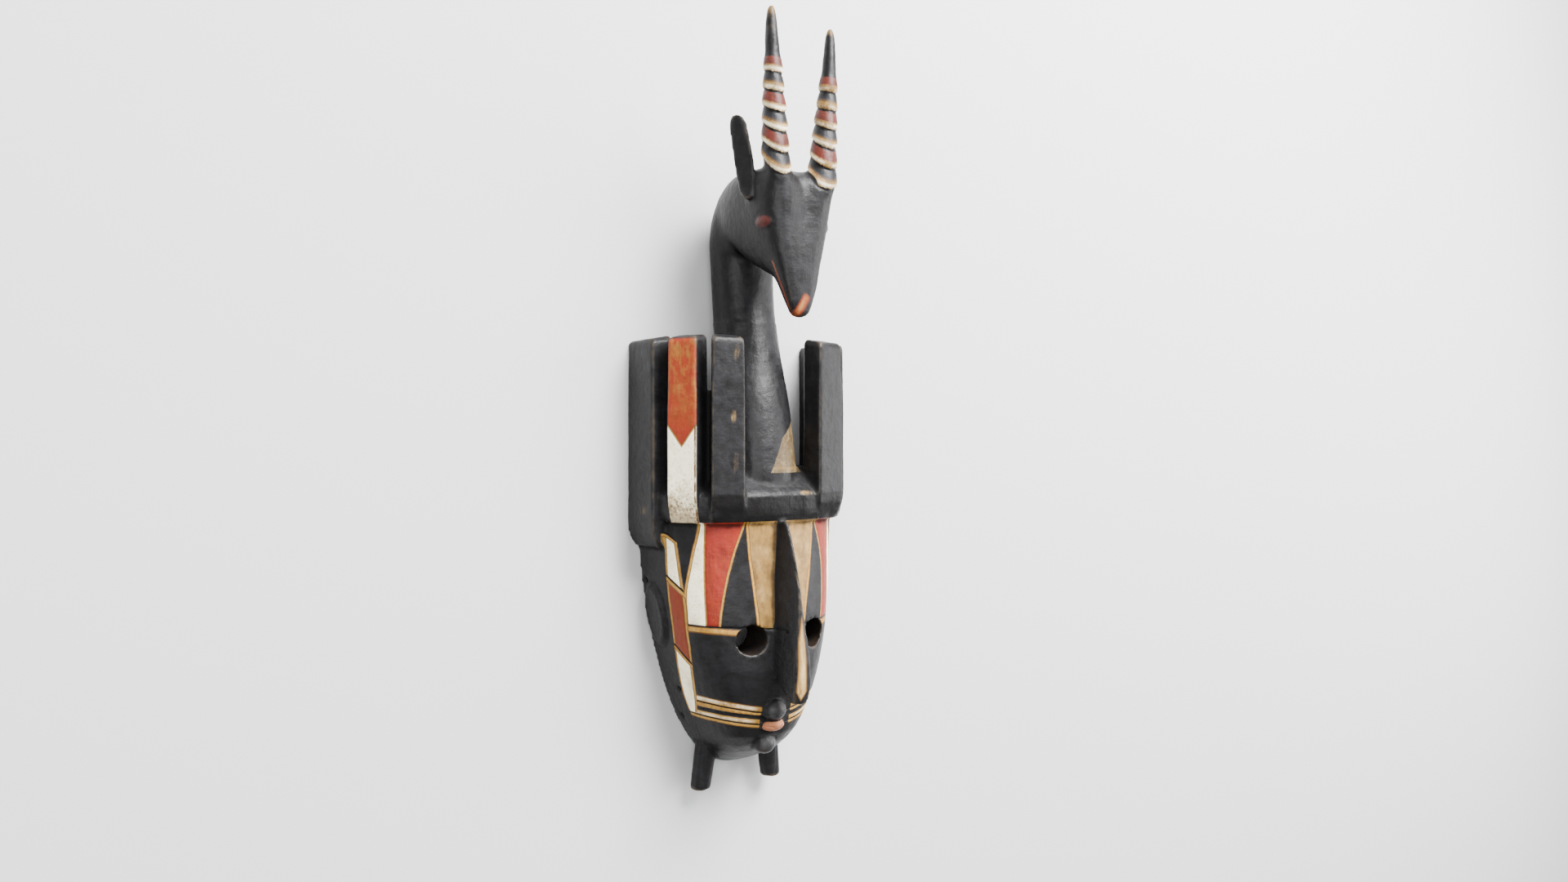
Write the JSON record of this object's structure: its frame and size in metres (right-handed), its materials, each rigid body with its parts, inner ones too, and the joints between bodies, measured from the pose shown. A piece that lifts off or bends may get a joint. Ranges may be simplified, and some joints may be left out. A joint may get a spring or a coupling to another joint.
{
  "type": "carved wooden face mask",
  "caption": "Long carved wooden face mask with a comb of upright prongs, a blade nose and a horned antelope head on a curved neck; it lies on its flat back.",
  "frame": {"origin": "under the middle of the mask, on the surface it lies on", "axes": "+X to the viewer's right across the face, +Y up the face from the pegs to the horn tips, +Z out of the face"},
  "size_m": [0.1888, 0.6178, 0.1195],
  "materials": {
    "blackened_wood": "blackened and rubbed, worn to bare wood at the edges, with red, white and ochre painted fields"
  },
  "bodies": {
    "root": {"carved_mask": "blackened_wood"}
  },
  "joints": []
}
